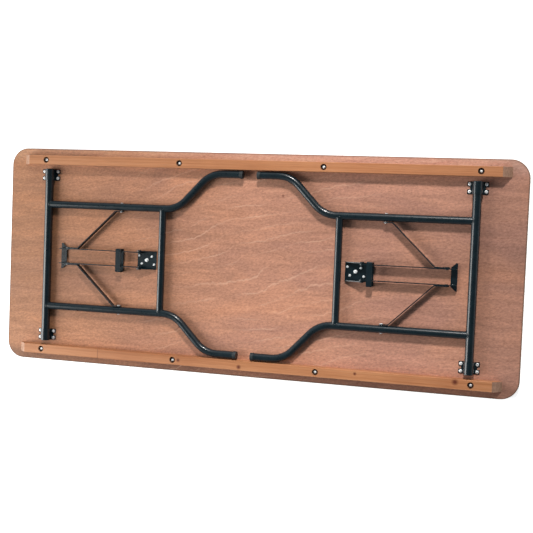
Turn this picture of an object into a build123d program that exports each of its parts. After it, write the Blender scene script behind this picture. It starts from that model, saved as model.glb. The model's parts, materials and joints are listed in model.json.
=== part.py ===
from build123d import *
import os

# Folding trestle table: plywood top on two wooden battens, with a wishbone steel leg at each end.
# It lies on its top face: Z = 0 is the table's surface, +Z points out of the underside,
# X runs along the table and Y across it. Both legs are folded flat and their feet meet at the middle.

# tabletop
TABLE_LENGTH = 1830
TABLE_WIDTH = 762
PANEL_THICKNESS = 18
PANEL_CORNER_RADIUS = 61
PANEL_EDGE_ROUND = 2

# wooden battens along the long edges
BATTEN_LENGTH = 1722
BATTEN_WIDTH = 33
BATTEN_HEIGHT = 28
BATTEN_END_BEVEL = 29
BATTEN_EDGE_ROUND = 1.5
BATTEN_Y = 340
BATTEN_SCREW_COUNT = 4
BATTEN_SCREW_PITCH = 510
COUNTERBORE_RADIUS = 10.5
COUNTERBORE_DEPTH = 8

# leg frame
AXIS_HEIGHT = 15
HINGE_X = 755.5
HINGE_TUBE_RADIUS = 14.3
HINGE_TUBE_HALF_LENGTH = 307
LEG_TUBE_RADIUS = 12.7
TUBE_WALL = 1.6
LEG_Y = 182.4
FOOT_Y = 307.5
UPPER_BEND_X = 260
LOWER_BEND_X = 141
FOOT_X = 25
BEND_RADIUS = 100
CROSS_TUBE_X = 313.5
CROSS_TUBE_RADIUS = 12
FOOT_CAP_LENGTH = 12
FOOT_CAP_RADIUS = 13.8
FOOT_CAP_END = 3
PLUG_FLANGE = 2
PLUG_DEPTH = 12

# hinge saddles
SHEET = 2
SADDLE_Y = 287.5
SADDLE_LENGTH = 68
SADDLE_WIDTH = 40
SADDLE_CLEARANCE = 0.1
SADDLE_SCREW_X = 26
SADDLE_SCREW_Y = 12
SADDLE_NOTCH_WIDTH = 9
SADDLE_NOTCH_DEPTH = 9

# anchor plates that hold the folding braces
PLATE_INNER_X = 337
PLATE_SHEET = 3
PLATE_HALF_WIDTH = 32
EAR_THICKNESS = 2.5
EAR_LOBE_RADIUS = 12
LIP_HEIGHT = 6
PLATE_SCREW_OFFSETS = [(-28, 15), (28, -15), (-18.5, -13), (18.5, 13)]

# folding brace, by its four pivots: hinge, leg, knee and anchor
ANCHOR_X = 396
LEG_PIVOT_X = 469
KNEE_X = 671.9
BAR_THICKNESS = 3
BAR_DEPTH = 20
LINK_Y = 26
LINK_TIP_X = 704
ARM_Y = 29.5
ARM_BEND_X = 633.5
ARM_TAB_X = 490
ARM_TAB_Y = 166.9
RIVET_RADIUS = 4
SMALL_RIVET_RADIUS = 3
PIVOT_CLEARANCE = 0.05

# stop yoke beyond the knee, and the loose lock ring that slides over it
YOKE_NEAR_X = 684
YOKE_FAR_X = 705
YOKE_NEAR_HALF = 31
YOKE_FAR_HALF = 45.5
YOKE_SHEET = 3
RING_LENGTH = 19
RING_WALL = 2.5
RING_REAR_Y = 33
RING_FRONT_Y = -44
RING_LOW = 3.5
RING_HIGH = 27.5
RING_X = {"left": 472, "right": 423}

# screws
SCREW_GAP = 0.2
BATTEN_SCREW = {"head_radius": 4.9, "head_height": 3.2, "shank_radius": 2.2, "shank_length": 33}
SADDLE_SCREW = {"head_radius": 5.7, "head_height": 3.4, "shank_radius": 2, "shank_length": 15}
PLATE_SCREW = {"head_radius": 4.4, "head_height": 3, "shank_radius": 1.9, "shank_length": 15}
CENTRE_SCREW = {"head_radius": 6.8, "head_height": 4.6, "shank_radius": 2.8, "shank_length": 16}

SIDES = {"left": -1, "right": 1}
ROWS = {"front": -1, "rear": 1}
TUBE_Z = PANEL_THICKNESS + AXIS_HEIGHT
BATTEN_TOP = PANEL_THICKNESS + BATTEN_HEIGHT
PLATE_LENGTH = ANCHOR_X + EAR_LOBE_RADIUS - PLATE_INNER_X
PLATE_X = PLATE_INNER_X + PLATE_LENGTH / 2
ALONG_Y = (90, 0, 0)

os.makedirs("parts", exist_ok=True)


def save(piece, name):
    """Label one finished piece and write it under the same name."""
    piece.part.label = name
    export_step(piece.part, f"parts/{name}.step")


def saddle_screw_points(x, y):
    """The four screw places of the hinge saddle centred on (x, y)."""
    return [(x + i * SADDLE_SCREW_X, y + j * SADDLE_SCREW_Y) for i in (-1, 1) for j in (-1, 1)]


def plate_screw_points(side):
    """The four small screw places of one anchor plate."""
    return [(side * PLATE_X + dx, dy) for dx, dy in PLATE_SCREW_OFFSETS]


def raised(points, height):
    """Flat points lifted to one height."""
    return [(x, y, height) for x, y in points]


def batten_screw_points(row):
    """The screw places along one batten."""
    first = -BATTEN_SCREW_PITCH * (BATTEN_SCREW_COUNT - 1) / 2
    return [(first + i * BATTEN_SCREW_PITCH, row * BATTEN_Y) for i in range(BATTEN_SCREW_COUNT)]


def make_panel():
    """Plywood top with rounded corners and a pilot hole for every screw that enters it."""
    with BuildPart() as panel:
        with BuildSketch():
            RectangleRounded(TABLE_LENGTH, TABLE_WIDTH, PANEL_CORNER_RADIUS)
        extrude(amount=PANEL_THICKNESS)
        faces = panel.faces().filter_by(Axis.Z)
        fillet(faces.edges(), radius=PANEL_EDGE_ROUND)
        batten_reach = BATTEN_SCREW["shank_length"] - (BATTEN_HEIGHT - COUNTERBORE_DEPTH)
        for row in ROWS.values():
            with Locations(*raised(batten_screw_points(row), PANEL_THICKNESS)):
                Hole(BATTEN_SCREW["shank_radius"], depth=batten_reach)
        for side in SIDES.values():
            for row in ROWS.values():
                points = saddle_screw_points(side * HINGE_X, row * SADDLE_Y)
                with Locations(*raised(points, PANEL_THICKNESS)):
                    Hole(SADDLE_SCREW["shank_radius"], depth=SADDLE_SCREW["shank_length"] - SHEET)
            with Locations(*raised(plate_screw_points(side), PANEL_THICKNESS)):
                Hole(PLATE_SCREW["shank_radius"], depth=PLATE_SCREW["shank_length"] - PLATE_SHEET)
            with Locations((side * PLATE_X, 0, PANEL_THICKNESS)):
                Hole(CENTRE_SCREW["shank_radius"], depth=CENTRE_SCREW["shank_length"] - PLATE_SHEET)
    save(panel, "tabletop_panel")


def make_batten(row_name, row):
    """Wooden runner with bevelled ends and deep counterbores for its screws."""
    with BuildPart() as batten:
        with BuildSketch(Plane.XZ.offset(-row * BATTEN_Y)):
            with BuildLine():
                Polyline(
                    (-BATTEN_LENGTH / 2, PANEL_THICKNESS),
                    (BATTEN_LENGTH / 2, PANEL_THICKNESS),
                    (BATTEN_LENGTH / 2 - BATTEN_END_BEVEL, BATTEN_TOP),
                    (BATTEN_END_BEVEL - BATTEN_LENGTH / 2, BATTEN_TOP),
                    close=True,
                )
            make_face()
        extrude(amount=BATTEN_WIDTH / 2, both=True)
        fillet(batten.faces().sort_by(Axis.Z)[-1].edges(), radius=BATTEN_EDGE_ROUND)
        with Locations(*raised(batten_screw_points(row), BATTEN_TOP)):
            CounterBoreHole(
                radius=BATTEN_SCREW["shank_radius"] + SCREW_GAP,
                counter_bore_radius=COUNTERBORE_RADIUS,
                counter_bore_depth=COUNTERBORE_DEPTH,
            )
    save(batten, f"{row_name}_batten")


def pan_screw(head_radius, head_height, shank_radius, shank_length):
    """Cross-recessed pan-head screw seated on Z = 0, pointing down."""
    with BuildPart() as screw:
        with BuildSketch(Plane.XZ):
            with BuildLine():
                outline = Polyline(
                    (0, head_height),
                    (0, -shank_length),
                    (shank_radius, 2 * shank_radius - shank_length),
                    (shank_radius, 0),
                    (head_radius, 0),
                    (head_radius, 0.35 * head_height),
                )
                TangentArc(outline @ 1, outline @ 0, tangent=(0, 1))
            make_face()
        revolve(axis=Axis.Z)
        with Locations((0, 0, head_height)):
            Box(head_radius, 0.2 * head_radius, 0.6 * head_height, mode=Mode.SUBTRACT)
            Box(0.2 * head_radius, head_radius, 0.6 * head_height, mode=Mode.SUBTRACT)
    return screw.part


def make_batten_screws(row_name, row):
    """The screws that hold one batten, seated at the bottom of its counterbores."""
    with BuildPart() as screws:
        with Locations(*raised(batten_screw_points(row), BATTEN_TOP - COUNTERBORE_DEPTH)):
            add(pan_screw(**BATTEN_SCREW))
    save(screws, f"{row_name}_batten_screws")


def make_saddle(name, x, y):
    """Omega strap of sheet steel over the hinge tube, with a notched flange each side."""
    inner = HINGE_TUBE_RADIUS + SADDLE_CLEARANCE
    outer = inner + SHEET
    on_panel = (Align.CENTER, Align.MIN)
    with BuildPart() as saddle:
        with BuildSketch(Plane.XZ.offset(-y)):
            with Locations((x, PANEL_THICKNESS)):
                Rectangle(SADDLE_LENGTH, SHEET, align=on_panel)
                Rectangle(2 * outer, AXIS_HEIGHT, align=on_panel)
            with Locations((x, TUBE_Z)):
                Circle(outer)
                Circle(inner, mode=Mode.SUBTRACT)
                Rectangle(2 * inner, 2 * AXIS_HEIGHT, align=(Align.CENTER, Align.MAX), mode=Mode.SUBTRACT)
        extrude(amount=SADDLE_WIDTH / 2, both=True)
        with Locations(*[(x + side * SADDLE_LENGTH / 2, y, PANEL_THICKNESS) for side in (-1, 1)]):
            Box(2 * SADDLE_NOTCH_DEPTH, SADDLE_NOTCH_WIDTH, 3 * SHEET, mode=Mode.SUBTRACT)
        flange_corners = saddle.edges().filter_by(Axis.Z).filter_by(
            lambda edge: abs(edge.length - SHEET) < 0.01
        )
        fillet(flange_corners, radius=2.5)
        with Locations(*raised(saddle_screw_points(x, y), PANEL_THICKNESS + SHEET)):
            Hole(SADDLE_SCREW["shank_radius"] + SCREW_GAP)
    save(saddle, name)


def make_saddle_screws(side_name, side):
    """The screws of both saddles at one end of the table."""
    with BuildPart() as screws:
        for row in ROWS.values():
            points = saddle_screw_points(side * HINGE_X, row * SADDLE_Y)
            with Locations(*raised(points, PANEL_THICKNESS + SHEET)):
                add(pan_screw(**SADDLE_SCREW))
    save(screws, f"{side_name}_saddle_screws")


def make_anchor_plate(side_name, side):
    """Screwed plate whose long edges turn up into ears that rise to the round brace pivots."""
    with BuildPart() as plate:
        with Locations((side * PLATE_X, 0, PANEL_THICKNESS)):
            Box(PLATE_LENGTH, 2 * PLATE_HALF_WIDTH, PLATE_SHEET, align=(Align.CENTER, Align.CENTER, Align.MIN))
        for row in ROWS.values():
            with BuildSketch(Plane.XZ.offset(-row * (PLATE_HALF_WIDTH - EAR_THICKNESS / 2))):
                with Locations((side * PLATE_X, PANEL_THICKNESS)):
                    Rectangle(PLATE_LENGTH, LIP_HEIGHT, align=(Align.CENTER, Align.MIN))
                with Locations((side * ANCHOR_X, TUBE_Z)):
                    Circle(EAR_LOBE_RADIUS)
                make_hull()
                with Locations((side * ANCHOR_X, TUBE_Z)):
                    Circle(RIVET_RADIUS, mode=Mode.SUBTRACT)
            extrude(amount=EAR_THICKNESS / 2, both=True)
        with Locations(*raised(plate_screw_points(side), PANEL_THICKNESS + PLATE_SHEET)):
            Hole(PLATE_SCREW["shank_radius"] + SCREW_GAP, depth=PLATE_SHEET)
        with Locations((side * PLATE_X, 0, PANEL_THICKNESS + PLATE_SHEET)):
            Hole(CENTRE_SCREW["shank_radius"] + SCREW_GAP, depth=PLATE_SHEET)
    save(plate, f"{side_name}_anchor_plate")


def make_plate_screws(side_name, side):
    """Four small screws and one large centre screw that hold an anchor plate."""
    seat = PANEL_THICKNESS + PLATE_SHEET
    with BuildPart() as screws:
        with Locations(*raised(plate_screw_points(side), seat)):
            add(pan_screw(**PLATE_SCREW))
        with Locations((side * PLATE_X, 0, seat)):
            add(pan_screw(**CENTRE_SCREW))
    save(screws, f"{side_name}_plate_screws")


def rivet_along_y(x, start, end, radius, heads):
    """Rivet shank across the table at one pivot, with a low head at each listed Y.

    heads maps the Y of a head's seat to (its thickness towards +Y or -Y, its radius).
    """
    with Locations(Location((x, (start + end) / 2, TUBE_Z), ALONG_Y)):
        Cylinder(radius, abs(end - start))
    for seat, (thickness, head_radius) in heads.items():
        with Locations(Location((x, seat + thickness / 2, TUBE_Z), ALONG_Y)):
            Cylinder(head_radius, abs(thickness))


def make_anchor_rivets(side_name, side):
    """The two rivets on which the links swing in the anchor plate's ears."""
    inner_face = LINK_Y - BAR_THICKNESS / 2 - 0.3
    with BuildPart() as rivets:
        for row in ROWS.values():
            rivet_along_y(
                side * ANCHOR_X,
                row * inner_face,
                row * PLATE_HALF_WIDTH,
                RIVET_RADIUS,
                {row * inner_face: (-row * 1.8, 6.5), row * PLATE_HALF_WIDTH: (row * 2.2, 6.5)},
            )
    save(rivets, f"{side_name}_anchor_rivets")


def make_hinge_tube(side_name, side):
    """Thick tube across the table that turns in the saddles."""
    with BuildPart() as tube:
        with BuildSketch(Plane(origin=(side * HINGE_X, 0, TUBE_Z), z_dir=(0, 1, 0))):
            Circle(HINGE_TUBE_RADIUS)
            Circle(HINGE_TUBE_RADIUS - TUBE_WALL, mode=Mode.SUBTRACT)
        extrude(amount=HINGE_TUBE_HALF_LENGTH, both=True)
    save(tube, f"{side_name}_hinge_tube")


def make_hinge_plugs(side_name, side):
    """Plastic plugs pressed into both ends of the hinge tube."""
    with BuildPart() as plugs:
        for row in ROWS.values():
            tube_end = row * HINGE_TUBE_HALF_LENGTH
            with Locations(Location((side * HINGE_X, tube_end - row * PLUG_DEPTH / 2, TUBE_Z), ALONG_Y)):
                Cylinder(HINGE_TUBE_RADIUS - TUBE_WALL, PLUG_DEPTH)
            with Locations(Location((side * HINGE_X, tube_end + row * PLUG_FLANGE / 2, TUBE_Z), ALONG_Y)):
                Cylinder(HINGE_TUBE_RADIUS, PLUG_FLANGE)
        rims = plugs.faces().filter_by(Axis.Y)
        fillet([rims.sort_by(Axis.Y)[0].edges()[0], rims.sort_by(Axis.Y)[-1].edges()[0]], radius=1.2)
    save(plugs, f"{side_name}_hinge_plugs")


def make_leg_tube(side_name, side, row_name, row):
    """Leg tube: straight from the hinge tube, an S-bend outwards, then straight to the foot."""
    start = (side * HINGE_X, row * LEG_Y)
    with BuildPart() as tube:
        with BuildLine(Plane.XY.offset(TUBE_Z)):
            FilletPolyline(
                start,
                (side * UPPER_BEND_X, row * LEG_Y),
                (side * LOWER_BEND_X, row * FOOT_Y),
                (side * (FOOT_X + FOOT_CAP_END), row * FOOT_Y),
                radius=BEND_RADIUS,
            )
        with BuildSketch(Plane(origin=(*start, TUBE_Z), z_dir=(-side, 0, 0))):
            Circle(LEG_TUBE_RADIUS)
            Circle(LEG_TUBE_RADIUS - TUBE_WALL, mode=Mode.SUBTRACT)
        sweep()
        with Locations(Location((*start, TUBE_Z), ALONG_Y)):
            Cylinder(HINGE_TUBE_RADIUS, 4 * LEG_TUBE_RADIUS, mode=Mode.SUBTRACT)
        with Locations(Location((side * LEG_PIVOT_X, row * LEG_Y, TUBE_Z), ALONG_Y)):
            Cylinder(SMALL_RIVET_RADIUS, 4 * LEG_TUBE_RADIUS, mode=Mode.SUBTRACT)
    save(tube, f"{side_name}_{row_name}_leg_tube")


def make_cross_tube(side_name, side):
    """Cross tube welded between the two leg tubes, its ends coped to fit them."""
    with BuildPart() as tube:
        with BuildSketch(Plane(origin=(side * CROSS_TUBE_X, 0, TUBE_Z), z_dir=(0, 1, 0))):
            Circle(CROSS_TUBE_RADIUS)
            Circle(CROSS_TUBE_RADIUS - TUBE_WALL, mode=Mode.SUBTRACT)
        extrude(amount=LEG_Y, both=True)
        for row in ROWS.values():
            with Locations(Location((side * CROSS_TUBE_X, row * LEG_Y, TUBE_Z), (0, 90, 0))):
                Cylinder(LEG_TUBE_RADIUS, 4 * CROSS_TUBE_RADIUS, mode=Mode.SUBTRACT)
    save(tube, f"{side_name}_cross_tube")


def make_foot_cap(side_name, side, row_name, row):
    """Plastic cap over the end of one leg tube."""
    def along_x(x):
        return Location((side * x, row * FOOT_Y, TUBE_Z), (0, 90, 0))

    with BuildPart() as cap:
        with Locations(along_x(FOOT_X + FOOT_CAP_LENGTH / 2)):
            Cylinder(FOOT_CAP_RADIUS, FOOT_CAP_LENGTH)
        fillet(cap.edges(), radius=1.2)
        with Locations(along_x(FOOT_X + FOOT_CAP_END + FOOT_CAP_LENGTH / 2)):
            Cylinder(LEG_TUBE_RADIUS, FOOT_CAP_LENGTH, mode=Mode.SUBTRACT)
    save(cap, f"{side_name}_{row_name}_foot_cap")


def make_leg_rivets(side_name, side):
    """The leg's halves of the brace pivots: a shank through each leg tube and its outer head."""
    inner_crest = LEG_Y - LEG_TUBE_RADIUS
    outer_crest = LEG_Y + LEG_TUBE_RADIUS
    with BuildPart() as rivets:
        for row in ROWS.values():
            rivet_along_y(
                side * LEG_PIVOT_X,
                row * inner_crest,
                row * outer_crest,
                SMALL_RIVET_RADIUS,
                {row * outer_crest: (row * 1.4, 4.5)},
            )
    save(rivets, f"{side_name}_leg_rivets")


def make_link_bar(side_name, side, row_name, row):
    """Flat bar on edge from the anchor pivot, past the knee, to the stop yoke."""
    with BuildPart() as bar:
        with BuildSketch(Plane.XZ.offset(-row * LINK_Y)):
            with Locations((side * (ANCHOR_X + LINK_TIP_X) / 2, TUBE_Z)):
                Rectangle(LINK_TIP_X - ANCHOR_X, BAR_DEPTH)
            with Locations((side * ANCHOR_X, TUBE_Z)):
                Circle(BAR_DEPTH / 2)
                Circle(RIVET_RADIUS + PIVOT_CLEARANCE, mode=Mode.SUBTRACT)
            with Locations((side * KNEE_X, TUBE_Z)):
                Circle(RIVET_RADIUS, mode=Mode.SUBTRACT)
        extrude(amount=BAR_THICKNESS / 2, both=True)
    save(bar, f"{side_name}_{row_name}_link_bar")


def make_yoke(side_name, side):
    """Flared stop plate under the ends of both link bars; the straightened arms rest on it."""
    top = TUBE_Z - BAR_DEPTH / 2
    with BuildPart() as yoke:
        with BuildSketch(Plane.XY.offset(top - YOKE_SHEET)):
            with BuildLine():
                Polyline(
                    (side * YOKE_NEAR_X, -YOKE_NEAR_HALF),
                    (side * YOKE_NEAR_X, YOKE_NEAR_HALF),
                    (side * (YOKE_FAR_X - 5), YOKE_FAR_HALF),
                    (side * YOKE_FAR_X, YOKE_FAR_HALF),
                    (side * YOKE_FAR_X, -YOKE_FAR_HALF),
                    (side * (YOKE_FAR_X - 5), -YOKE_FAR_HALF),
                    close=True,
                )
            make_face()
        extrude(amount=YOKE_SHEET)
        fillet(yoke.edges().filter_by(Axis.Z), radius=1)
    save(yoke, f"{side_name}_stop_yoke")


def make_knee_rivets(side_name, side):
    """Rivets of the knee, fixed in the link bars, on which the arms turn."""
    bar_inner = LINK_Y - BAR_THICKNESS / 2
    arm_outer = ARM_Y + BAR_THICKNESS / 2 + 0.2
    with BuildPart() as rivets:
        for row in ROWS.values():
            rivet_along_y(
                side * KNEE_X,
                row * bar_inner,
                row * arm_outer,
                RIVET_RADIUS,
                {row * bar_inner: (-row * 1.6, 5.5), row * arm_outer: (row * 0.9, 5)},
            )
    save(rivets, f"{side_name}_knee_rivets")


def make_arm(side_name, side, row_name, row):
    """Cranked flat bar from the knee, out to a tab that lies along the leg tube."""
    end_radius = BAR_DEPTH / 2 - 0.3
    with BuildPart() as arm:
        with BuildSketch(Plane.XY.offset(TUBE_Z)):
            with BuildLine():
                Polyline(
                    (side * (KNEE_X + end_radius), row * ARM_Y),
                    (side * ARM_BEND_X, row * ARM_Y),
                    (side * ARM_TAB_X, row * ARM_TAB_Y),
                    (side * (LEG_PIVOT_X - end_radius), row * ARM_TAB_Y),
                )
            trace(line_width=BAR_THICKNESS)
        extrude(amount=end_radius, both=True)
        square_ends = arm.faces().filter_by(Axis.X)
        ends = [square_ends.sort_by(Axis.X)[0], square_ends.sort_by(Axis.X)[-1]]
        tips = [edge for end in ends for edge in end.edges().filter_by(Axis.Y)]
        fillet(tips, radius=end_radius - 0.1)
        with Locations(Location((side * KNEE_X, row * ARM_Y, TUBE_Z), ALONG_Y)):
            Cylinder(RIVET_RADIUS + PIVOT_CLEARANCE, 3 * BAR_THICKNESS, mode=Mode.SUBTRACT)
        with Locations(Location((side * LEG_PIVOT_X, row * ARM_TAB_Y, TUBE_Z), ALONG_Y)):
            Cylinder(SMALL_RIVET_RADIUS, 3 * BAR_THICKNESS, mode=Mode.SUBTRACT)
    save(arm, f"{side_name}_{row_name}_arm")


def make_arm_rivets(side_name, side):
    """The arms' halves of the brace pivots: a stub through each tab and its inner head."""
    tab_inner = ARM_TAB_Y - BAR_THICKNESS / 2
    stub_end = LEG_Y - LEG_TUBE_RADIUS - 0.3
    with BuildPart() as rivets:
        for row in ROWS.values():
            rivet_along_y(
                side * LEG_PIVOT_X,
                row * tab_inner,
                row * stub_end,
                SMALL_RIVET_RADIUS,
                {row * tab_inner: (-row * 1.8, 5)},
            )
    save(rivets, f"{side_name}_arm_rivets")


def make_lock_ring(side_name, side):
    """Loose rectangular sleeve round the link bars, hanging to one side."""
    outer_y = (RING_FRONT_Y - RING_WALL, RING_REAR_Y + RING_WALL)
    outer_z = (PANEL_THICKNESS + RING_LOW - RING_WALL, PANEL_THICKNESS + RING_HIGH + RING_WALL)
    middle = (sum(outer_y) / 2, sum(outer_z) / 2)
    width = outer_y[1] - outer_y[0]
    height = outer_z[1] - outer_z[0]
    start = Plane(origin=(side * RING_X[side_name], 0, 0), x_dir=(0, 1, 0), z_dir=(1, 0, 0))
    with BuildPart() as ring:
        with BuildSketch(start):
            with Locations(middle):
                RectangleRounded(width, height, RING_WALL + 1)
                RectangleRounded(width - 2 * RING_WALL, height - 2 * RING_WALL, 1, mode=Mode.SUBTRACT)
        extrude(amount=RING_LENGTH / 2, both=True)
    save(ring, f"{side_name}_lock_ring")


make_panel()
for row_name, row in ROWS.items():
    make_batten(row_name, row)
    make_batten_screws(row_name, row)
for side_name, side in SIDES.items():
    make_saddle_screws(side_name, side)
    make_anchor_plate(side_name, side)
    make_plate_screws(side_name, side)
    make_anchor_rivets(side_name, side)
    make_hinge_tube(side_name, side)
    make_hinge_plugs(side_name, side)
    make_cross_tube(side_name, side)
    make_leg_rivets(side_name, side)
    make_yoke(side_name, side)
    make_knee_rivets(side_name, side)
    make_arm_rivets(side_name, side)
    make_lock_ring(side_name, side)
    for row_name, row in ROWS.items():
        make_saddle(f"{side_name}_{row_name}_saddle", side * HINGE_X, row * SADDLE_Y)
        make_leg_tube(side_name, side, row_name, row)
        make_foot_cap(side_name, side, row_name, row)
        make_link_bar(side_name, side, row_name, row)
        make_arm(side_name, side, row_name, row)
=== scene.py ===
import json
import math

import bmesh
import bpy
from mathutils import Matrix, Vector, noise


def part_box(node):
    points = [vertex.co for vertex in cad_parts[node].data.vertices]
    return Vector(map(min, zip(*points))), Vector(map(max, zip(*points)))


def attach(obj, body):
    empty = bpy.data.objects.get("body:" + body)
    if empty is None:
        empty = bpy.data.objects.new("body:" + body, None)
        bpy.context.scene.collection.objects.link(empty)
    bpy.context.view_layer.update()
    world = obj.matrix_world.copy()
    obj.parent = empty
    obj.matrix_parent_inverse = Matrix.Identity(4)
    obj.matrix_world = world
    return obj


# Looks of the folding table: procedural materials for every CAD node, weld beads, light and camera.
# Metres, in the CAD frame: the table lies on its top face, and its underside faces +Z.

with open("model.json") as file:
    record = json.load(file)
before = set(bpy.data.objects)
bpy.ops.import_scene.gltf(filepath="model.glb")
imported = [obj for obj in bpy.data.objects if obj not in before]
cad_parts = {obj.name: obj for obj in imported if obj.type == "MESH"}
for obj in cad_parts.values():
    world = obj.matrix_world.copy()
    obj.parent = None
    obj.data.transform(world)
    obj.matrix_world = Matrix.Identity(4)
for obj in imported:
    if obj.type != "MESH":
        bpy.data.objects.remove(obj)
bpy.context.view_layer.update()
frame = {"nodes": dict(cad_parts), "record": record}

SIDES = ("left", "right")
ROWS = {"front": -1, "rear": 1}

# camera
CAMERA_PLACE = Vector((1.049, 0.183, 3.304))
CAMERA_AIM = Vector((0.0647, 0.0008, 0.018))
CAMERA_UP = Vector((-0.0416, 1.0, 0.0))
CAMERA_LENS = 68.52
SENSOR_WIDTH = 36.0

# tabletop: its corners, its plies, the spans its colours run over, and the knots (x, y, radius) in its veneer
PANEL_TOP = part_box("tabletop_panel")[1].z
PANEL_CORNER = 0.061
PANEL_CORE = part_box("tabletop_panel")[1] - Vector((PANEL_CORNER, PANEL_CORNER, 0))
RIM_WIDTH = 0.0022
RIM_FADE = 0.0050
PLY_PAIR = 0.004
PLY_WAVER = 0.0008
VENEER_HALF_LENGTH = 0.9
VENEER_HALF_WIDTH = 0.38
VENEER_KNOTS = [(0.113, 0.241, 0.006), (-0.244, -0.227, 0.006)]

# curly figure of the veneer: slope, lines per metre, how far they sway and waver, and where they fade out
CURL_TURN = -0.27
CURLS_PER_METRE = 23.0
CURL_SWAY = 0.16
CURL_WAVER = 0.022
CURL_CENTRE_X = 0.02
CURL_STRONG = 0.20
CURL_FAINT = 0.52

# battens: counterbored screws at an even pitch, how far (in knot radii) and how much a knot pulls the grain,
# and the front one's joint and knots (x, y, radius)
BATTEN_WIDTH = 0.033
BATTEN_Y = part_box("rear_batten")[0].y + BATTEN_WIDTH / 2
BATTEN_TOP = PANEL_TOP + 0.028
SCREW_PITCH = 0.51
BORE_RADIUS = 0.0107
BORE_MOUTH = 0.0012
GRAIN_SWELL = 5
GRAIN_PULL = 0.002
FRONT_JOINT_X = -0.54
FRONT_KNOTS = [(-0.233, -0.339, 0.008), (-0.012, -0.345, 0.010), (0.390, -0.334, 0.007), (0.716, -0.333, 0.013)]

# steel tubes
TUBE_Z = (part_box("left_hinge_tube")[0].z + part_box("left_hinge_tube")[1].z) / 2
HINGE_RADIUS = (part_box("left_hinge_tube")[1].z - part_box("left_hinge_tube")[0].z) / 2
CROSS_RADIUS = (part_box("left_cross_tube")[1].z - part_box("left_cross_tube")[0].z) / 2
LEG_RADIUS = 0.0127
LEG_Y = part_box("left_rear_leg_tube")[0].y + LEG_RADIUS

# weld beads: size, lean away from the tube they lie on, ripples, tapered ends, and steps round and along
WELD_RADIUS = 0.0019
WELD_FLATNESS = 0.85
WELD_LEAN = 0.6
RIPPLE_HEIGHT = 0.16
RIPPLE_TURN = 2.1
LUMP_HEIGHT = 0.10
LUMPS_PER_METRE = 400
TAPER_START = 0.35
TAPER_STEP = 0.33
WELD_SIDES = 8
SEAM_STEPS = 72
YOKE_STEPS = 14
YOKE_MARGIN = 0.003

FLOOR_SIZE = 80


# ---------------------------------------------------------------- shader nodes

def node(tree, kind, inputs=None, **settings):
    """A shader node with its settings, its inputs linked from sockets or set to values."""
    made = tree.nodes.new(kind)
    for name, value in settings.items():
        setattr(made, name, value)
    for key, value in (inputs or {}).items():
        if isinstance(value, bpy.types.NodeSocket):
            tree.links.new(value, made.inputs[key])
        else:
            made.inputs[key].default_value = value
    return made


def maths(tree, operation, a, b=0.0, c=0.0):
    """The result of one operation on sockets or numbers."""
    return node(tree, "ShaderNodeMath", {0: a, 1: b, 2: c}, operation=operation).outputs[0]


def vector_maths(tree, operation, a, b=(0, 0, 0)):
    """The result of one operation on vectors: a vector, or a number for lengths and products."""
    made = node(tree, "ShaderNodeVectorMath", {0: a, 1: b}, operation=operation)
    gives_number = operation in ("DISTANCE", "DOT_PRODUCT", "LENGTH")
    return made.outputs["Value" if gives_number else "Vector"]


def axes(tree, vector):
    """The X, Y and Z outputs of a vector."""
    return node(tree, "ShaderNodeSeparateXYZ", {0: vector}).outputs


def mapped(tree, value, start, end, low=0.0, high=1.0):
    """A value taken from start..end to low..high, and held at either end."""
    return node(
        tree, "ShaderNodeMapRange", {0: value, 1: start, 2: end, 3: low, 4: high}, clamp=True
    ).outputs[0]


def turned(tree, coords, angle):
    """Coordinates turned about Z, by radians."""
    return node(tree, "ShaderNodeVectorRotate", {"Vector": coords, "Angle": angle}).outputs[0]


def stretched(tree, coords, scale, turn=0.0, shift=(0, 0, 0)):
    """Coordinates turned about Z, shifted, then scaled along each axis."""
    moved = vector_maths(tree, "ADD", turned(tree, coords, turn), shift)
    return vector_maths(tree, "MULTIPLY", moved, scale)


def noise_value(tree, coords, scale=1.0, detail=3.0, roughness=0.55, distortion=0.0):
    """Smooth noise, mostly between 0.25 and 0.75."""
    made = node(
        tree,
        "ShaderNodeTexNoise",
        {"Vector": coords, "Scale": scale, "Detail": detail, "Roughness": roughness, "Distortion": distortion},
    )
    return made.outputs["Fac"]


def ramp(tree, value, stops):
    """A colour ramp through (place, colour) stops; a number in place of a colour is a grey."""
    made = node(tree, "ShaderNodeValToRGB", {"Fac": value})
    elements = made.color_ramp.elements
    while len(elements) < len(stops):
        elements.new(0.5)
    for element, (place, colour) in zip(elements, stops):
        element.position = place
        element.color = (colour, colour, colour, 1) if isinstance(colour, (int, float)) else (*colour, 1)
    return made.outputs["Color"]


def mix(tree, factor, a, b, blend="MIX"):
    """Colour b laid over colour a, each a socket or three numbers."""
    made = node(tree, "ShaderNodeMix", data_type="RGBA", blend_type=blend)
    for index, value in ((0, factor), (6, a), (7, b)):
        if isinstance(value, bpy.types.NodeSocket):
            tree.links.new(value, made.inputs[index])
        elif index == 0:
            made.inputs[index].default_value = value
        else:
            made.inputs[index].default_value = (*value, 1)
    return made.outputs[2]


def toned(tree, colour, value, stops, factor=0.5):
    """A colour made darker and lighter by a value, through stops round a middle grey."""
    return mix(tree, factor, colour, ramp(tree, value, stops), "OVERLAY")


def stained(tree, colour, mask, strength, stain):
    """A colour taken towards a stain where the mask is 1."""
    return mix(tree, maths(tree, "MULTIPLY", mask, strength), colour, stain)


def near(tree, coords, centre, radius):
    """1 within a quarter of the radius of a point, falling to 0 at the radius."""
    return mapped(tree, vector_maths(tree, "DISTANCE", coords, centre), radius, radius * 0.25)


def facing(tree, axis):
    """How squarely a face looks along an axis, either way: 0 to 1."""
    normal = node(tree, "ShaderNodeTexCoord").outputs["Normal"]
    return maths(tree, "ABSOLUTE", axes(tree, normal)[axis])


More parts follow.
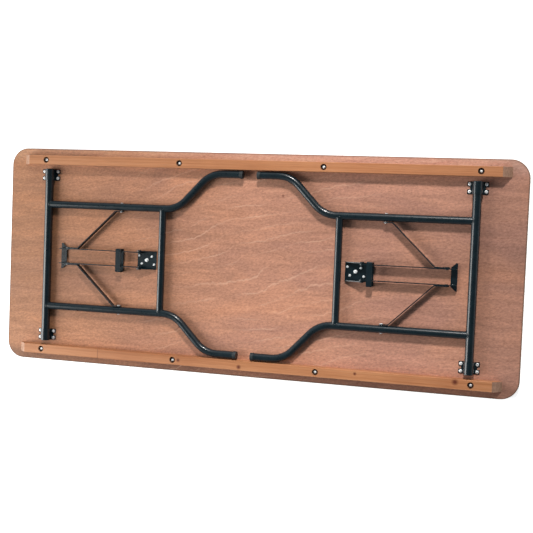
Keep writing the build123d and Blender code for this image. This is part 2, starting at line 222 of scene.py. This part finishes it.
def bump(tree, height, strength, distance, normal=None):
    """Relief from a height, on top of another relief where one is given."""
    inputs = {"Height": height, "Strength": strength, "Distance": distance}
    if normal is not None:
        inputs["Normal"] = normal
    return node(tree, "ShaderNodeBump", inputs).outputs[0]


def new_material(name):
    """An empty principled material, its tree, its shader and object coordinates."""
    material = bpy.data.materials.new(name)
    material.use_nodes = True
    tree = material.node_tree
    shader = tree.nodes["Principled BSDF"]
    coords = node(tree, "ShaderNodeTexCoord").outputs["Object"]
    return material, tree, shader, coords


def link(tree, shader, **sockets):
    """Links outputs to the shader's sockets, named with underscores for spaces."""
    for name, value in sockets.items():
        tree.links.new(value, shader.inputs[name.replace("_", " ")])


# ---------------------------------------------------------------- materials

def veneer_colour(tree, coords):
    """Red-brown rotary-cut veneer: soft bands, mottling, pores, curly lines and knots, with a painted shadow on
    the front margin, a painted sheen on the rear margin and painted shade along the rim.
    """
    place = axes(tree, coords)
    along = mapped(tree, place["X"], -VENEER_HALF_LENGTH, VENEER_HALF_LENGTH)
    colour = ramp(
        tree,
        along,
        [
            (0.0, (0.500, 0.226, 0.114)),
            (0.25, (0.565, 0.260, 0.148)),
            (0.5, (0.620, 0.298, 0.194)),
            (0.85, (0.610, 0.300, 0.208)),
            (1.0, (0.525, 0.260, 0.184)),
        ],
    )
    # across the panel: a painted shadow on the front margin beyond the front batten, darker through the middle,
    # and a painted cool sheen on the rear margin beyond the rear batten
    across = mapped(tree, place["Y"], -VENEER_HALF_WIDTH, VENEER_HALF_WIDTH)
    painted_margin_shadow_and_sheen = ramp(
        tree,
        across,
        [
            (0.033, 0.50),
            (0.07, 0.84),
            (0.15, 0.83),
            (0.35, 0.75),
            (0.65, 0.70),
            (0.85, 0.77),
            (0.93, 0.78),
            (0.968, (1.0, 1.12, 1.22)),
        ],
    )
    colour = mix(tree, 1.0, colour, painted_margin_shadow_and_sheen, "MULTIPLY")
    broad = noise_value(tree, stretched(tree, coords, (2.1, 6.5, 1.0)), 1.0, 3.0, 0.5, 1.1)
    tints = [(0.28, (0.35, 0.36, 0.42)), (0.50, (0.53, 0.53, 0.51)), (0.72, (0.69, 0.64, 0.54))]
    colour = toned(tree, colour, broad, tints)
    fibre = noise_value(tree, stretched(tree, coords, (6.0, 46.0, 20.0)), 1.0, 5.0, 0.58, 0.9)
    colour = toned(tree, colour, fibre, [(0.30, 0.34), (0.70, 0.66)])
    mottle = noise_value(tree, stretched(tree, coords, (95.0, 170.0, 60.0), turn=-0.2), 1.0, 4.0, 0.75)
    colour = toned(tree, colour, mottle, [(0.30, 0.27), (0.70, 0.73)], 0.6)
    colour = mix(tree, curly_lines(tree, coords), colour, (0.740, 0.450, 0.320))
    pores = noise_value(tree, stretched(tree, coords, (60.0, 700.0, 40.0)), 1.0, 2.0, 0.5)
    dark = ramp(tree, pores, [(0.30, 1.0), (0.40, 0.0)])
    colour = stained(tree, colour, dark, 0.5, (0.19, 0.072, 0.040))
    # painted shade along the panel's rounded edge
    colour = stained(tree, colour, painted_rim_shade(tree, coords), 0.62, (0.100, 0.050, 0.032))
    for x, y, radius in VENEER_KNOTS:
        knot = near(tree, coords, (x, y, PANEL_TOP), radius)
        colour = stained(tree, colour, knot, 0.7, (0.12, 0.030, 0.018))
    return colour, fibre, pores


def painted_rim_shade(tree, coords):
    """1 in a narrow line inside the panel's rounded outline, where shade is painted along the rounded edge."""
    outside = vector_maths(tree, "SUBTRACT", vector_maths(tree, "ABSOLUTE", coords), PANEL_CORE)
    reach = vector_maths(tree, "LENGTH", vector_maths(tree, "MAXIMUM", outside))
    return mapped(tree, reach, PANEL_CORNER - RIM_FADE, PANEL_CORNER - RIM_WIDTH)


def curly_lines(tree, coords):
    """How much of the light curly figure shows: thin wavering lines that climb to the right."""
    sway = noise_value(tree, stretched(tree, coords, (2.2, 3.0, 1.0)), 1.0, 2.0, 0.5)
    waver = noise_value(tree, stretched(tree, coords, (42.0, 16.0, 1.0)), 1.0, 3.0, 0.6)
    level = axes(tree, turned(tree, coords, CURL_TURN))["Y"]
    level = maths(tree, "MULTIPLY_ADD", sway, CURL_SWAY, level)
    level = maths(tree, "MULTIPLY_ADD", waver, CURL_WAVER, level)
    band = maths(tree, "FRACT", maths(tree, "MULTIPLY", level, CURLS_PER_METRE))
    crest = ramp(tree, band, [(0.0, 0.0), (0.40, 0.0), (0.50, 1.0), (0.55, 0.0), (1.0, 0.0)])
    gap = maths(tree, "ABSOLUTE", maths(tree, "ADD", axes(tree, coords)["X"], -CURL_CENTRE_X))
    central = mapped(tree, gap, CURL_FAINT, CURL_STRONG, 0.12, 1.0)
    patches = noise_value(tree, stretched(tree, coords, (4.0, 9.0, 1.0)), 1.0, 2.0, 0.6)
    shown = maths(tree, "MULTIPLY", crest, ramp(tree, patches, [(0.42, 0.0), (0.58, 1.0)]))
    return maths(tree, "MULTIPLY", shown, maths(tree, "MULTIPLY", central, 0.5))


def plywood():
    """The tabletop: veneer on both faces, and alternating plies round the edge."""
    material, tree, shader, coords = new_material("plywood")
    colour, fibre, pores = veneer_colour(tree, coords)
    waver = noise_value(tree, stretched(tree, coords, (6.0, 6.0, 1.0)), 1.0, 2.0)
    waver = maths(tree, "MULTIPLY", maths(tree, "SUBTRACT", waver, 0.5), PLY_WAVER)
    level = maths(tree, "ADD", axes(tree, coords)["Z"], waver)
    ply = maths(tree, "FRACT", maths(tree, "DIVIDE", level, PLY_PAIR))
    light_ply, dark_ply, glue = (0.25, 0.150, 0.088), (0.125, 0.062, 0.036), (0.035, 0.018, 0.011)
    stripes = ramp(
        tree,
        ply,
        [(0.0, glue), (0.05, light_ply), (0.48, light_ply), (0.5, glue), (0.55, dark_ply), (0.97, dark_ply)],
    )
    grain = noise_value(tree, stretched(tree, coords, (120.0, 120.0, 900.0)), 1.0, 3.0)
    stripes = toned(tree, stripes, grain, [(0.3, 0.32), (0.7, 0.68)])
    face = ramp(tree, facing(tree, "Z"), [(0.80, 0.0), (0.97, 1.0)])
    colour = mix(tree, face, stripes, colour)
    rough = ramp(tree, fibre, [(0.3, 0.58), (0.7, 0.48)])
    relief = bump(tree, pores, 0.18, 0.0004, bump(tree, fibre, 0.08, 0.0006))
    link(tree, shader, Base_Color=colour, Roughness=rough, Normal=relief)
    shader.inputs["Specular IOR Level"].default_value = 0.3
    return material


def batten_wood(name, axis_y, shift, knots=(), joint=None):
    """Orange-brown softwood: growth lines, paler end grain, painted shade in the screw bores, knots and a
    joint.
    """
    material, tree, shader, coords = new_material(name)
    place = axes(tree, coords)
    pulled = coords
    for x, y, radius in knots:
        swell = near(tree, coords, (x, y, BATTEN_TOP), radius * GRAIN_SWELL)
        pull = maths(tree, "MULTIPLY", swell, GRAIN_PULL)
        pulled = vector_maths(tree, "ADD", pulled, node(tree, "ShaderNodeCombineXYZ", {"Y": pull}).outputs[0])
    lines = noise_value(tree, stretched(tree, pulled, (0.9, 95.0, 60.0), shift=shift), 1.0, 3.0, 0.55, 0.2)
    colour = ramp(
        tree,
        lines,
        [
            (0.30, (0.345, 0.128, 0.046)),
            (0.47, (0.440, 0.180, 0.075)),
            (0.60, (0.500, 0.218, 0.098)),
            (0.74, (0.390, 0.150, 0.060)),
        ],
    )
    fibre = noise_value(tree, stretched(tree, pulled, (22.0, 620.0, 420.0), shift=shift), 1.0, 4.0, 0.6)
    colour = toned(tree, colour, fibre, [(0.3, 0.37), (0.7, 0.63)])
    tone = noise_value(tree, stretched(tree, coords, (3.4, 1.0, 1.0), shift=shift), 1.0, 2.0)
    colour = toned(tree, colour, tone, [(0.35, (0.42, 0.36, 0.33)), (0.65, (0.56, 0.58, 0.60))])
    for x, y, radius in knots:
        knot = near(tree, pulled, (x, y + GRAIN_PULL, BATTEN_TOP), radius)
        colour = stained(tree, colour, knot, 0.95, (0.115, 0.022, 0.010))
    if joint is not None:
        gap = maths(tree, "ABSOLUTE", maths(tree, "SUBTRACT", place["X"], joint))
        seam = ramp(tree, maths(tree, "MULTIPLY", gap, 100.0), [(0.08, 1.0), (0.20, 0.0)])
        colour = stained(tree, colour, seam, 0.6, (0.13, 0.045, 0.020))
        beyond = maths(tree, "LESS_THAN", place["X"], joint)
        colour = stained(tree, colour, beyond, 0.25, (0.54, 0.232, 0.098))
    # painted shade down inside the screw counterbores
    colour = stained(tree, colour, painted_bore_shade(tree, place, axis_y), 0.88, (0.020, 0.010, 0.006))
    pith = noise_value(tree, stretched(tree, coords, (160.0, 130.0, 160.0), shift=shift), 1.0, 3.0)
    end_grain = ramp(tree, pith, [(0.35, (0.315, 0.170, 0.105)), (0.65, (0.43, 0.245, 0.160))])
    end_face = ramp(tree, facing(tree, "X"), [(0.35, 0.0), (0.55, 1.0)])
    colour = mix(tree, end_face, colour, end_grain)
    rough = ramp(tree, fibre, [(0.3, 0.56), (0.7, 0.44)])
    relief = bump(tree, fibre, 0.22, 0.0004, bump(tree, lines, 0.15, 0.0007))
    link(tree, shader, Base_Color=colour, Roughness=rough, Normal=relief)
    shader.inputs["Specular IOR Level"].default_value = 0.35
    return material


def painted_bore_shade(tree, place, axis_y):
    """1 inside the counterbores of a batten, below their mouths, where shade is painted."""
    step = maths(tree, "FRACT", maths(tree, "DIVIDE", place["X"], SCREW_PITCH))
    along = maths(tree, "MULTIPLY", maths(tree, "SUBTRACT", step, 0.5), SCREW_PITCH)
    across = maths(tree, "SUBTRACT", place["Y"], axis_y)
    offset = node(tree, "ShaderNodeCombineXYZ", {"X": along, "Y": across}).outputs[0]
    inside = maths(tree, "LESS_THAN", vector_maths(tree, "LENGTH", offset), BORE_RADIUS)
    sunk = maths(tree, "LESS_THAN", place["Z"], BATTEN_TOP - BORE_MOUTH)
    return maths(tree, "MULTIPLY", inside, sunk)


def painted_steel():
    """Blue-black semi-gloss paint with orange peel, faint dust and small scuffs."""
    material, tree, shader, coords = new_material("painted_steel")
    cloud = noise_value(tree, coords, 28.0, 3.0)
    colour = ramp(tree, cloud, [(0.35, (0.0030, 0.0095, 0.0135)), (0.65, (0.0048, 0.0140, 0.0190))])
    scuff = noise_value(tree, stretched(tree, coords, (260.0, 320.0, 300.0)), 1.0, 5.0, 0.7)
    worn = ramp(tree, scuff, [(0.66, 0.0), (0.72, 1.0)])
    colour = stained(tree, colour, worn, 0.25, (0.045, 0.058, 0.062))
    rough = ramp(tree, noise_value(tree, coords, 90.0, 3.0), [(0.3, 0.26), (0.7, 0.34)])
    peel = noise_value(tree, coords, 750.0, 2.0)
    link(tree, shader, Base_Color=colour, Roughness=rough, Normal=bump(tree, peel, 0.06, 0.0001))
    shader.inputs["Specular IOR Level"].default_value = 0.42
    shader.inputs["Coat Weight"].default_value = 0.2
    shader.inputs["Coat Roughness"].default_value = 0.10
    return material


def zinc_steel():
    """Bright zinc plate with faint passivation clouds and fine scratches."""
    material, tree, shader, coords = new_material("zinc_steel")
    cloud = noise_value(tree, coords, 420.0, 3.0)
    tints = [(0.3, (0.80, 0.81, 0.79)), (0.55, (0.90, 0.92, 0.92)), (0.75, (0.82, 0.86, 0.90))]
    colour = ramp(tree, cloud, tints)
    rough = ramp(tree, noise_value(tree, coords, 1300.0, 3.0), [(0.3, 0.34), (0.7, 0.46)])
    scratch = noise_value(tree, stretched(tree, coords, (900.0, 4000.0, 4000.0), turn=0.6), 1.0, 2.0)
    link(tree, shader, Base_Color=colour, Roughness=rough, Normal=bump(tree, scratch, 0.12, 0.0001))
    shader.inputs["Metallic"].default_value = 0.3
    return material


def black_plastic():
    """Matt moulded plastic with a fine spark-eroded grain."""
    material, tree, shader, coords = new_material("black_plastic")
    cloud = noise_value(tree, coords, 60.0, 2.0)
    colour = ramp(tree, cloud, [(0.3, (0.0105, 0.0165, 0.0190)), (0.7, (0.0150, 0.0225, 0.0250))])
    grain = noise_value(tree, coords, 1800.0, 3.0)
    rough = ramp(tree, grain, [(0.3, 0.46), (0.7, 0.60)])
    link(tree, shader, Base_Color=colour, Roughness=rough, Normal=bump(tree, grain, 0.25, 0.0003))
    return material


def dress_cad_nodes():
    """Gives every CAD node the material of its slot, and each batten its own. Returns them by slot."""
    by_slot = {
        "plywood": plywood(),
        "painted_steel": painted_steel(),
        "zinc_steel": zinc_steel(),
        "black_plastic": black_plastic(),
    }
    battens = {
        "front_batten": batten_wood(
            "front_batten_wood", -BATTEN_Y, (0.0, 0.0, 0.0), FRONT_KNOTS, joint=FRONT_JOINT_X
        ),
        "rear_batten": batten_wood("rear_batten_wood", BATTEN_Y, (3.7, 1.3, 0.4)),
    }
    for part in frame["record"]["subparts"]:
        cad = frame["nodes"][part["node"]]
        material = battens.get(part["node"]) or by_slot[part["material_slot"]]
        cad.data.materials.clear()
        cad.data.materials.append(material)
    return by_slot


# ---------------------------------------------------------------- weld beads

def weld_bead(name, points, outward, body, material, closed=True):
    """A rippled bead along a path. outward gives the direction that each point's bead bulges to."""
    mesh = bmesh.new()
    rings = []
    count = len(points)
    for i, point in enumerate(points):
        after = points[(i + 1) % count] if closed or i < count - 1 else point
        before = points[i - 1] if closed or i else point
        along = (after - before).normalized()
        up = (outward[i] - along * outward[i].dot(along)).normalized()
        across = along.cross(up)
        ripple = 1.0 + RIPPLE_HEIGHT * math.sin(i * RIPPLE_TURN)
        ripple += LUMP_HEIGHT * noise.noise(point * LUMPS_PER_METRE)
        taper = 1.0 if closed else min(1.0, TAPER_START + TAPER_STEP * min(i, count - 1 - i))
        radius = WELD_RADIUS * ripple * taper
        ring = []
        for k in range(WELD_SIDES):
            angle = math.tau * k / WELD_SIDES
            way = up * math.cos(angle) * WELD_FLATNESS + across * math.sin(angle)
            ring.append(mesh.verts.new(point + way * radius))
        rings.append(ring)
    pairs = list(zip(rings, rings[1:] + rings[:1])) if closed else list(zip(rings, rings[1:]))
    for a, b in pairs:
        for k in range(WELD_SIDES):
            following = (k + 1) % WELD_SIDES
            mesh.faces.new((a[k], a[following], b[following], b[k]))
    if not closed:
        mesh.faces.new(rings[0])
        mesh.faces.new(rings[-1])
    bmesh.ops.recalc_face_normals(mesh, faces=mesh.faces)
    data = bpy.data.meshes.new(name)
    mesh.to_mesh(data)
    mesh.free()
    for face in data.polygons:
        face.use_smooth = True
    bead = bpy.data.objects.new(name, data)
    bpy.context.scene.collection.objects.link(bead)
    data.materials.append(material)
    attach(bead, body)


def tube_seam(tube_radius, wall_radius):
    """Where a tube ends on the round side of another, turn by turn.

    Each is the turn's angle, the tube's offset and height there, and the distance from the other's axis.
    """
    for step in range(SEAM_STEPS):
        angle = math.tau * step / SEAM_STEPS
        height = tube_radius * math.sin(angle)
        yield angle, tube_radius * math.cos(angle), height, math.sqrt(wall_radius**2 - height**2)


def add_welds(material):
    """Beads where the leg tubes meet the hinge tube, the cross tube the leg tubes, and the yoke the links."""
    for side in SIDES:
        sign = -1 if side == "left" else 1
        hinge_low, hinge_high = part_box(f"{side}_hinge_tube")
        cross_low, cross_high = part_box(f"{side}_cross_tube")
        yoke_low, yoke_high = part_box(f"{side}_stop_yoke")
        hinge_x = (hinge_low.x + hinge_high.x) / 2
        cross_x = (cross_low.x + cross_high.x) / 2
        for row, way in ROWS.items():
            points, outward = [], []
            for angle, offset, height, reach in tube_seam(LEG_RADIUS, HINGE_RADIUS):
                points.append(Vector((hinge_x - sign * reach, way * LEG_Y + offset, TUBE_Z + height)))
                outward.append(Vector((-sign * WELD_LEAN, math.cos(angle), math.sin(angle))))
            weld_bead(f"{side}_{row}_hinge_weld", points, outward, f"{side}_leg", material)
            points, outward = [], []
            for angle, offset, height, reach in tube_seam(CROSS_RADIUS, LEG_RADIUS):
                points.append(Vector((cross_x + offset, way * (LEG_Y - reach), TUBE_Z + height)))
                outward.append(Vector((math.cos(angle), -way * WELD_LEAN, math.sin(angle))))
            weld_bead(f"{side}_{row}_cross_weld", points, outward, f"{side}_leg", material)
            bar_low, bar_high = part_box(f"{side}_{row}_link_bar")
            inner_y = bar_high.y if way < 0 else bar_low.y
            length = yoke_high.x - yoke_low.x - 2 * YOKE_MARGIN
            start = yoke_low.x + YOKE_MARGIN
            points = [
                Vector((start + length * i / (YOKE_STEPS - 1), inner_y, yoke_high.z)) for i in range(YOKE_STEPS)
            ]
            outward = [Vector((0, -way, 1))] * YOKE_STEPS
            weld_bead(f"{side}_{row}_yoke_weld", points, outward, f"{side}_link", material, closed=False)


# ---------------------------------------------------------------- stage, light, camera

def add_area_light(name, place, aim, size, power, colour, spread=180):
    """A round area light at a place, turned to its aim. Spread is in degrees."""
    data = bpy.data.lights.new(name, "AREA")
    data.shape = "DISK"
    data.size = size
    data.energy = power
    data.color = colour
    data.spread = math.radians(spread)
    lamp = bpy.data.objects.new(name, data)
    bpy.context.scene.collection.objects.link(lamp)
    lamp.location = place
    lamp.rotation_euler = (Vector(aim) - Vector(place)).to_track_quat("-Z", "Y").to_euler()


def add_world():
    """Studio surroundings: bright low down, to the left and behind, dark overhead and to the right."""
    world = bpy.data.worlds.new("studio")
    world.use_nodes = True
    tree = world.node_tree
    way = node(tree, "ShaderNodeTexCoord").outputs["Generated"]
    height = ramp(tree, axes(tree, way)["Z"], [(0.0, 0.9), (0.22, 0.75), (0.50, 0.34), (0.85, 0.15)])
    left_rear = (-0.8, 0.6, 0.0)
    side = mapped(tree, vector_maths(tree, "DOT_PRODUCT", way, left_rear), -0.8, 0.7, 0.40, 1.0)
    cool_tint = (0.86, 1.0, 1.10)
    light = mix(tree, 1.0, mix(tree, 1.0, height, side, "MULTIPLY"), cool_tint, "MULTIPLY")
    tree.links.new(light, tree.nodes["Background"].inputs["Color"])
    tree.nodes["Background"].inputs["Strength"].default_value = 1.14
    bpy.context.scene.world = world


def add_stage():
    """White floor, a hard key from beyond the rear edge and a broad fill close on the left."""
    bpy.ops.mesh.primitive_plane_add(size=FLOOR_SIZE)
    floor = bpy.context.object
    floor.name = "floor"
    material, tree, shader, coords = new_material("floor_white")
    tone = ramp(tree, noise_value(tree, coords, 2.0, 2.0), [(0.3, 0.90), (0.7, 0.92)])
    link(tree, shader, Base_Color=tone)
    shader.inputs["Roughness"].default_value = 0.9
    shader.inputs["Emission Color"].default_value = (1, 1, 1, 1)
    shader.inputs["Emission Strength"].default_value = 0.75
    floor.data.materials.append(material)
    add_area_light(
        "key",
        place=(0.95, 4.9, 3.75),
        aim=(0.35, -0.1, 0),
        size=0.85,
        power=10.8,
        colour=(1.0, 0.96, 0.93),
        spread=30,
    )
    add_area_light(
        "fill", place=(-2.95, -0.6, 1.65), aim=(-0.4, 0, 0), size=2.4, power=116, colour=(1.0, 0.98, 0.95)
    )
    bpy.context.scene.view_settings.view_transform = "Standard"


def add_camera():
    """Camera at the viewing angle: above the underside, to the right of the middle."""
    data = bpy.data.cameras.new("camera")
    data.lens = CAMERA_LENS
    data.sensor_width = SENSOR_WIDTH
    camera = bpy.data.objects.new("camera", data)
    bpy.context.scene.collection.objects.link(camera)
    forward = (CAMERA_AIM - CAMERA_PLACE).normalized()
    right = forward.cross(CAMERA_UP).normalized()
    up = right.cross(forward)
    turn = Matrix((right, up, -forward)).transposed()
    camera.matrix_world = Matrix.Translation(CAMERA_PLACE) @ turn.to_4x4()
    bpy.context.scene.camera = camera


materials = dress_cad_nodes()
add_welds(materials["painted_steel"])
add_world()
add_stage()
add_camera()
